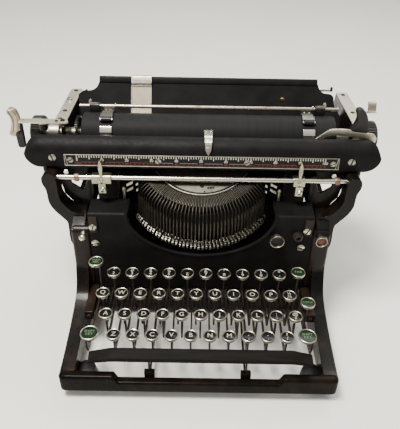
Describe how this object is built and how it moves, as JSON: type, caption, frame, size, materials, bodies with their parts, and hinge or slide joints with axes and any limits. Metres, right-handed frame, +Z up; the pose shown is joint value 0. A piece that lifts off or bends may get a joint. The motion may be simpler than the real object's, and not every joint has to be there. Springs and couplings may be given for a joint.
{
  "type": "typewriter",
  "caption": "Upright manual desk typewriter with a cast frame, banked round keys, open type basket, letter scale and a sliding carriage with platen, knobs and levers.",
  "frame": {"origin": "middle of the overall footprint on the table plane, carriage at rest as drawn", "axes": "+X to the typist's right along the carriage, +Y from the typist to the back, +Z up"},
  "size_m": [0.3906, 0.345, 0.241],
  "materials": {
    "frame_enamel": "worn gloss black enamel on cast iron",
    "cover_enamel": "black wrinkle enamel",
    "carriage_enamel": "black wrinkle enamel",
    "type_metal": "aged bare steel",
    "nickel": "warm worn nickel plate",
    "space_bar_wood": "black lacquered wood, worn through in front",
    "key_tops": "black glass-topped keys on steel levers",
    "green_keys": "dark green glass-topped keys on steel levers",
    "black_button": "black button in a nickel ring",
    "red_button": "dull red button",
    "platen_rubber": "hard dark grey rubber"
  },
  "bodies": {
    "frame": {"main_frame": "frame_enamel", "type_basket": "type_metal", "rail_cover": "cover_enamel"},
    "margin_stop_left": {"margin_stop_left": "nickel"},
    "margin_stop_right": {"margin_stop_right": "nickel"},
    "space_bar": {"space_bar": "space_bar_wood"},
    "shift_keys": {"shift_keys": "green_keys"},
    "shift_lock_key": {"shift_lock_key": "green_keys"},
    "margin_release_key": {"margin_release_key": "green_keys"},
    "tabulator_key": {"tabulator_key": "green_keys"},
    "ribbon_button": {"ribbon_button": "black_button"},
    "red_button": {"red_button": "red_button"},
    "carriage_frame": {"carriage_frame": "carriage_enamel"},
    "platen": {"platen": "platen_rubber"},
    "paper_bail": {"paper_bail": "nickel"},
    "return_lever": {"return_lever": "nickel"},
    "release_lever": {"release_lever": "nickel"},
    "paper_release_lever": {"paper_release_lever": "nickel"},
    "key_z": {"key_z": "key_tops"},
    "key_x": {"key_x": "key_tops"},
    "key_c": {"key_c": "key_tops"},
    "key_v": {"key_v": "key_tops"},
    "key_b": {"key_b": "key_tops"},
    "key_n": {"key_n": "key_tops"},
    "key_m": {"key_m": "key_tops"},
    "key_comma": {"key_comma": "key_tops"},
    "key_period": {"key_period": "key_tops"},
    "key_slash": {"key_slash": "key_tops"},
    "key_a": {"key_a": "key_tops"},
    "key_s": {"key_s": "key_tops"},
    "key_d": {"key_d": "key_tops"},
    "key_f": {"key_f": "key_tops"},
    "key_g": {"key_g": "key_tops"},
    "key_h": {"key_h": "key_tops"},
    "key_j": {"key_j": "key_tops"},
    "key_k": {"key_k": "key_tops"},
    "key_l": {"key_l": "key_tops"},
    "key_semicolon": {"key_semicolon": "key_tops"},
    "key_at": {"key_at": "key_tops"},
    "key_q": {"key_q": "key_tops"},
    "key_w": {"key_w": "key_tops"},
    "key_e": {"key_e": "key_tops"},
    "key_r": {"key_r": "key_tops"},
    "key_t": {"key_t": "key_tops"},
    "key_y": {"key_y": "key_tops"},
    "key_u": {"key_u": "key_tops"},
    "key_i": {"key_i": "key_tops"},
    "key_o": {"key_o": "key_tops"},
    "key_p": {"key_p": "key_tops"},
    "key_half": {"key_half": "key_tops"},
    "key_2": {"key_2": "key_tops"},
    "key_3": {"key_3": "key_tops"},
    "key_4": {"key_4": "key_tops"},
    "key_5": {"key_5": "key_tops"},
    "key_6": {"key_6": "key_tops"},
    "key_7": {"key_7": "key_tops"},
    "key_8": {"key_8": "key_tops"},
    "key_9": {"key_9": "key_tops"},
    "key_0": {"key_0": "key_tops"},
    "key_hyphen": {"key_hyphen": "key_tops"}
  },
  "joints": [
    {"name": "carriage_slide", "type": "slide", "parent": "frame", "child": "carriage_frame", "axis": [1, 0, 0], "range_m": [-0.11, 0.11]},
    {"name": "bail_lift", "type": "hinge", "parent": "carriage_frame", "child": "paper_bail", "pos_m": [0.00825, 0.0345, 0.2249], "axis": [-1, 0, 0], "range_deg": [0, 50], "stiffness_Nm_per_rad": 0.3, "springref_deg": -17.19},
    {"name": "lever_line_space", "type": "hinge", "parent": "carriage_frame", "child": "return_lever", "pos_m": [-0.13725, 0.002, 0.221], "axis": [0, 0, -1], "range_deg": [0, 12], "stiffness_Nm_per_rad": 0.3, "springref_deg": -11.46},
    {"name": "lever_carriage_release", "type": "hinge", "parent": "carriage_frame", "child": "release_lever", "pos_m": [0.12725, -0.0025, 0.203], "axis": [0, 1, 0], "range_deg": [0, 5], "stiffness_Nm_per_rad": 0.6, "springref_deg": -11.46},
    {"name": "lever_paper_release", "type": "hinge", "parent": "carriage_frame", "child": "paper_release_lever", "pos_m": [0.18025, 0.0375, 0.2], "axis": [1, 0, 0], "range_deg": [0, 18]},
    {"name": "platen_turn", "type": "hinge", "parent": "carriage_frame", "child": "platen", "pos_m": [0.00825, 0.0215, 0.199], "axis": [1, 0, 0], "continuous": true},
    {"name": "margin_left_slide", "type": "slide", "parent": "frame", "child": "margin_stop_left", "axis": [1, 0, 0], "range_m": [-0.0135, 0.015]},
    {"name": "margin_right_slide", "type": "slide", "parent": "frame", "child": "margin_stop_right", "axis": [1, 0, 0], "range_m": [-0.012, 0.027]},
    {"name": "ribbon_button_push", "type": "slide", "parent": "frame", "child": "ribbon_button", "axis": [0, 1, 0], "range_m": [0, 0.0035], "stiffness_N_per_m": 250, "springref_m": -0.003},
    {"name": "red_button_push", "type": "slide", "parent": "frame", "child": "red_button", "axis": [0, 1, 0], "range_m": [0, 0.0035], "stiffness_N_per_m": 200, "springref_m": -0.003},
    {"name": "shift_keys_press", "type": "hinge", "parent": "frame", "child": "shift_keys", "pos_m": [0.00825, 0.1235, 0.038], "axis": [1, 0, 0], "range_deg": [0, 2.4], "stiffness_Nm_per_rad": 3, "springref_deg": -20.05},
    {"name": "shift_lock_press", "type": "hinge", "parent": "shift_keys", "child": "shift_lock_key", "pos_m": [0.11675, -0.0725, 0.0465], "axis": [1, 0, 0], "range_deg": [0, 6], "stiffness_Nm_per_rad": 0.06, "springref_deg": -17.19},
    {"name": "space_bar_press", "type": "hinge", "parent": "frame", "child": "space_bar", "pos_m": [0.00825, -0.0165, 0.0165], "axis": [1, 0, 0], "range_deg": [0, 2], "stiffness_Nm_per_rad": 1.6, "springref_deg": -14.32},
    {"name": "side_key_margin_release", "type": "hinge", "parent": "frame", "child": "margin_release_key", "pos_m": [-0.09575, 0.1235, 0.038], "axis": [1, 0, 0], "range_deg": [0, 2.6], "stiffness_Nm_per_rad": 0.6, "springref_deg": -20.05},
    {"name": "side_key_tabulator", "type": "hinge", "parent": "frame", "child": "tabulator_key", "pos_m": [0.10925, 0.1235, 0.038], "axis": [1, 0, 0], "range_deg": [0, 2.6], "stiffness_Nm_per_rad": 0.6, "springref_deg": -20.05},
    {"name": "type_key_z", "type": "hinge", "parent": "frame", "child": "key_z", "pos_m": [-0.07661, 0.1235, 0.038], "axis": [1, 0, 0], "range_deg": [0, 3], "stiffness_Nm_per_rad": 0.6, "springref_deg": -17.19},
    {"name": "type_key_x", "type": "hinge", "parent": "frame", "child": "key_x", "pos_m": [-0.05756, 0.1235, 0.038], "axis": [1, 0, 0], "range_deg": [0, 3], "stiffness_Nm_per_rad": 0.6, "springref_deg": -17.19},
    {"name": "type_key_c", "type": "hinge", "parent": "frame", "child": "key_c", "pos_m": [-0.03851, 0.1235, 0.038], "axis": [1, 0, 0], "range_deg": [0, 3], "stiffness_Nm_per_rad": 0.6, "springref_deg": -17.19},
    {"name": "type_key_v", "type": "hinge", "parent": "frame", "child": "key_v", "pos_m": [-0.01946, 0.1235, 0.038], "axis": [1, 0, 0], "range_deg": [0, 3], "stiffness_Nm_per_rad": 0.6, "springref_deg": -17.19},
    {"name": "type_key_b", "type": "hinge", "parent": "frame", "child": "key_b", "pos_m": [-0.00041, 0.1235, 0.038], "axis": [1, 0, 0], "range_deg": [0, 3], "stiffness_Nm_per_rad": 0.6, "springref_deg": -17.19},
    {"name": "type_key_n", "type": "hinge", "parent": "frame", "child": "key_n", "pos_m": [0.01864, 0.1235, 0.038], "axis": [1, 0, 0], "range_deg": [0, 3], "stiffness_Nm_per_rad": 0.6, "springref_deg": -17.19},
    {"name": "type_key_m", "type": "hinge", "parent": "frame", "child": "key_m", "pos_m": [0.03769, 0.1235, 0.038], "axis": [1, 0, 0], "range_deg": [0, 3], "stiffness_Nm_per_rad": 0.6, "springref_deg": -17.19},
    {"name": "type_key_comma", "type": "hinge", "parent": "frame", "child": "key_comma", "pos_m": [0.05674, 0.1235, 0.038], "axis": [1, 0, 0], "range_deg": [0, 3], "stiffness_Nm_per_rad": 0.6, "springref_deg": -17.19},
    {"name": "type_key_period", "type": "hinge", "parent": "frame", "child": "key_period", "pos_m": [0.07579, 0.1235, 0.038], "axis": [1, 0, 0], "range_deg": [0, 3], "stiffness_Nm_per_rad": 0.6, "springref_deg": -17.19},
    {"name": "type_key_slash", "type": "hinge", "parent": "frame", "child": "key_slash", "pos_m": [0.09484, 0.1235, 0.038], "axis": [1, 0, 0], "range_deg": [0, 3], "stiffness_Nm_per_rad": 0.6, "springref_deg": -17.19},
    {"name": "type_key_a", "type": "hinge", "parent": "frame", "child": "key_a", "pos_m": [-0.08614, 0.1235, 0.038], "axis": [1, 0, 0], "range_deg": [0, 3], "stiffness_Nm_per_rad": 0.6, "springref_deg": -17.19},
    {"name": "type_key_s", "type": "hinge", "parent": "frame", "child": "key_s", "pos_m": [-0.06709, 0.1235, 0.038], "axis": [1, 0, 0], "range_deg": [0, 3], "stiffness_Nm_per_rad": 0.6, "springref_deg": -17.19},
    {"name": "type_key_d", "type": "hinge", "parent": "frame", "child": "key_d", "pos_m": [-0.04804, 0.1235, 0.038], "axis": [1, 0, 0], "range_deg": [0, 3], "stiffness_Nm_per_rad": 0.6, "springref_deg": -17.19},
    {"name": "type_key_f", "type": "hinge", "parent": "frame", "child": "key_f", "pos_m": [-0.02899, 0.1235, 0.038], "axis": [1, 0, 0], "range_deg": [0, 3], "stiffness_Nm_per_rad": 0.6, "springref_deg": -17.19},
    {"name": "type_key_g", "type": "hinge", "parent": "frame", "child": "key_g", "pos_m": [-0.00994, 0.1235, 0.038], "axis": [1, 0, 0], "range_deg": [0, 3], "stiffness_Nm_per_rad": 0.6, "springref_deg": -17.19},
    {"name": "type_key_h", "type": "hinge", "parent": "frame", "child": "key_h", "pos_m": [0.00911, 0.1235, 0.038], "axis": [1, 0, 0], "range_deg": [0, 3], "stiffness_Nm_per_rad": 0.6, "springref_deg": -17.19},
    {"name": "type_key_j", "type": "hinge", "parent": "frame", "child": "key_j", "pos_m": [0.02816, 0.1235, 0.038], "axis": [1, 0, 0], "range_deg": [0, 3], "stiffness_Nm_per_rad": 0.6, "springref_deg": -17.19},
    {"name": "type_key_k", "type": "hinge", "parent": "frame", "child": "key_k", "pos_m": [0.04721, 0.1235, 0.038], "axis": [1, 0, 0], "range_deg": [0, 3], "stiffness_Nm_per_rad": 0.6, "springref_deg": -17.19},
    {"name": "type_key_l", "type": "hinge", "parent": "frame", "child": "key_l", "pos_m": [0.06626, 0.1235, 0.038], "axis": [1, 0, 0], "range_deg": [0, 3], "stiffness_Nm_per_rad": 0.6, "springref_deg": -17.19},
    {"name": "type_key_semicolon", "type": "hinge", "parent": "frame", "child": "key_semicolon", "pos_m": [0.08531, 0.1235, 0.038], "axis": [1, 0, 0], "range_deg": [0, 3], "stiffness_Nm_per_rad": 0.6, "springref_deg": -17.19},
    {"name": "type_key_at", "type": "hinge", "parent": "frame", "child": "key_at", "pos_m": [0.10436, 0.1235, 0.038], "axis": [1, 0, 0], "range_deg": [0, 3], "stiffness_Nm_per_rad": 0.6, "springref_deg": -17.19},
    {"name": "type_key_q", "type": "hinge", "parent": "frame", "child": "key_q", "pos_m": [-0.0909, 0.1235, 0.038], "axis": [1, 0, 0], "range_deg": [0, 3], "stiffness_Nm_per_rad": 0.6, "springref_deg": -17.19},
    {"name": "type_key_w", "type": "hinge", "parent": "frame", "child": "key_w", "pos_m": [-0.07185, 0.1235, 0.038], "axis": [1, 0, 0], "range_deg": [0, 3], "stiffness_Nm_per_rad": 0.6, "springref_deg": -17.19},
    {"name": "type_key_e", "type": "hinge", "parent": "frame", "child": "key_e", "pos_m": [-0.0528, 0.1235, 0.038], "axis": [1, 0, 0], "range_deg": [0, 3], "stiffness_Nm_per_rad": 0.6, "springref_deg": -17.19},
    {"name": "type_key_r", "type": "hinge", "parent": "frame", "child": "key_r", "pos_m": [-0.03375, 0.1235, 0.038], "axis": [1, 0, 0], "range_deg": [0, 3], "stiffness_Nm_per_rad": 0.6, "springref_deg": -17.19},
    {"name": "type_key_t", "type": "hinge", "parent": "frame", "child": "key_t", "pos_m": [-0.0147, 0.1235, 0.038], "axis": [1, 0, 0], "range_deg": [0, 3], "stiffness_Nm_per_rad": 0.6, "springref_deg": -17.19},
    {"name": "type_key_y", "type": "hinge", "parent": "frame", "child": "key_y", "pos_m": [0.00435, 0.1235, 0.038], "axis": [1, 0, 0], "range_deg": [0, 3], "stiffness_Nm_per_rad": 0.6, "springref_deg": -17.19},
    {"name": "type_key_u", "type": "hinge", "parent": "frame", "child": "key_u", "pos_m": [0.0234, 0.1235, 0.038], "axis": [1, 0, 0], "range_deg": [0, 3], "stiffness_Nm_per_rad": 0.6, "springref_deg": -17.19},
    {"name": "type_key_i", "type": "hinge", "parent": "frame", "child": "key_i", "pos_m": [0.04245, 0.1235, 0.038], "axis": [1, 0, 0], "range_deg": [0, 3], "stiffness_Nm_per_rad": 0.6, "springref_deg": -17.19},
    {"name": "type_key_o", "type": "hinge", "parent": "frame", "child": "key_o", "pos_m": [0.0615, 0.1235, 0.038], "axis": [1, 0, 0], "range_deg": [0, 3], "stiffness_Nm_per_rad": 0.6, "springref_deg": -17.19},
    {"name": "type_key_p", "type": "hinge", "parent": "frame", "child": "key_p", "pos_m": [0.08055, 0.1235, 0.038], "axis": [1, 0, 0], "range_deg": [0, 3], "stiffness_Nm_per_rad": 0.6, "springref_deg": -17.19},
    {"name": "type_key_half", "type": "hinge", "parent": "frame", "child": "key_half", "pos_m": [0.0996, 0.1235, 0.038], "axis": [1, 0, 0], "range_deg": [0, 3], "stiffness_Nm_per_rad": 0.6, "springref_deg": -17.19},
    {"name": "type_key_2", "type": "hinge", "parent": "frame", "child": "key_2", "pos_m": [-0.08138, 0.1235, 0.038], "axis": [1, 0, 0], "range_deg": [0, 3], "stiffness_Nm_per_rad": 0.6, "springref_deg": -17.19},
    {"name": "type_key_3", "type": "hinge", "parent": "frame", "child": "key_3", "pos_m": [-0.06233, 0.1235, 0.038], "axis": [1, 0, 0], "range_deg": [0, 3], "stiffness_Nm_per_rad": 0.6, "springref_deg": -17.19},
    {"name": "type_key_4", "type": "hinge", "parent": "frame", "child": "key_4", "pos_m": [-0.04328, 0.1235, 0.038], "axis": [1, 0, 0], "range_deg": [0, 3], "stiffness_Nm_per_rad": 0.6, "springref_deg": -17.19},
    {"name": "type_key_5", "type": "hinge", "parent": "frame", "child": "key_5", "pos_m": [-0.02422, 0.1235, 0.038], "axis": [1, 0, 0], "range_deg": [0, 3], "stiffness_Nm_per_rad": 0.6, "springref_deg": -17.19},
    {"name": "type_key_6", "type": "hinge", "parent": "frame", "child": "key_6", "pos_m": [-0.00517, 0.1235, 0.038], "axis": [1, 0, 0], "range_deg": [0, 3], "stiffness_Nm_per_rad": 0.6, "springref_deg": -17.19},
    {"name": "type_key_7", "type": "hinge", "parent": "frame", "child": "key_7", "pos_m": [0.01388, 0.1235, 0.038], "axis": [1, 0, 0], "range_deg": [0, 3], "stiffness_Nm_per_rad": 0.6, "springref_deg": -17.19},
    {"name": "type_key_8", "type": "hinge", "parent": "frame", "child": "key_8", "pos_m": [0.03293, 0.1235, 0.038], "axis": [1, 0, 0], "range_deg": [0, 3], "stiffness_Nm_per_rad": 0.6, "springref_deg": -17.19},
    {"name": "type_key_9", "type": "hinge", "parent": "frame", "child": "key_9", "pos_m": [0.05197, 0.1235, 0.038], "axis": [1, 0, 0], "range_deg": [0, 3], "stiffness_Nm_per_rad": 0.6, "springref_deg": -17.19},
    {"name": "type_key_0", "type": "hinge", "parent": "frame", "child": "key_0", "pos_m": [0.07103, 0.1235, 0.038], "axis": [1, 0, 0], "range_deg": [0, 3], "stiffness_Nm_per_rad": 0.6, "springref_deg": -17.19},
    {"name": "type_key_hyphen", "type": "hinge", "parent": "frame", "child": "key_hyphen", "pos_m": [0.09008, 0.1235, 0.038], "axis": [1, 0, 0], "range_deg": [0, 3], "stiffness_Nm_per_rad": 0.6, "springref_deg": -17.19}
  ]
}
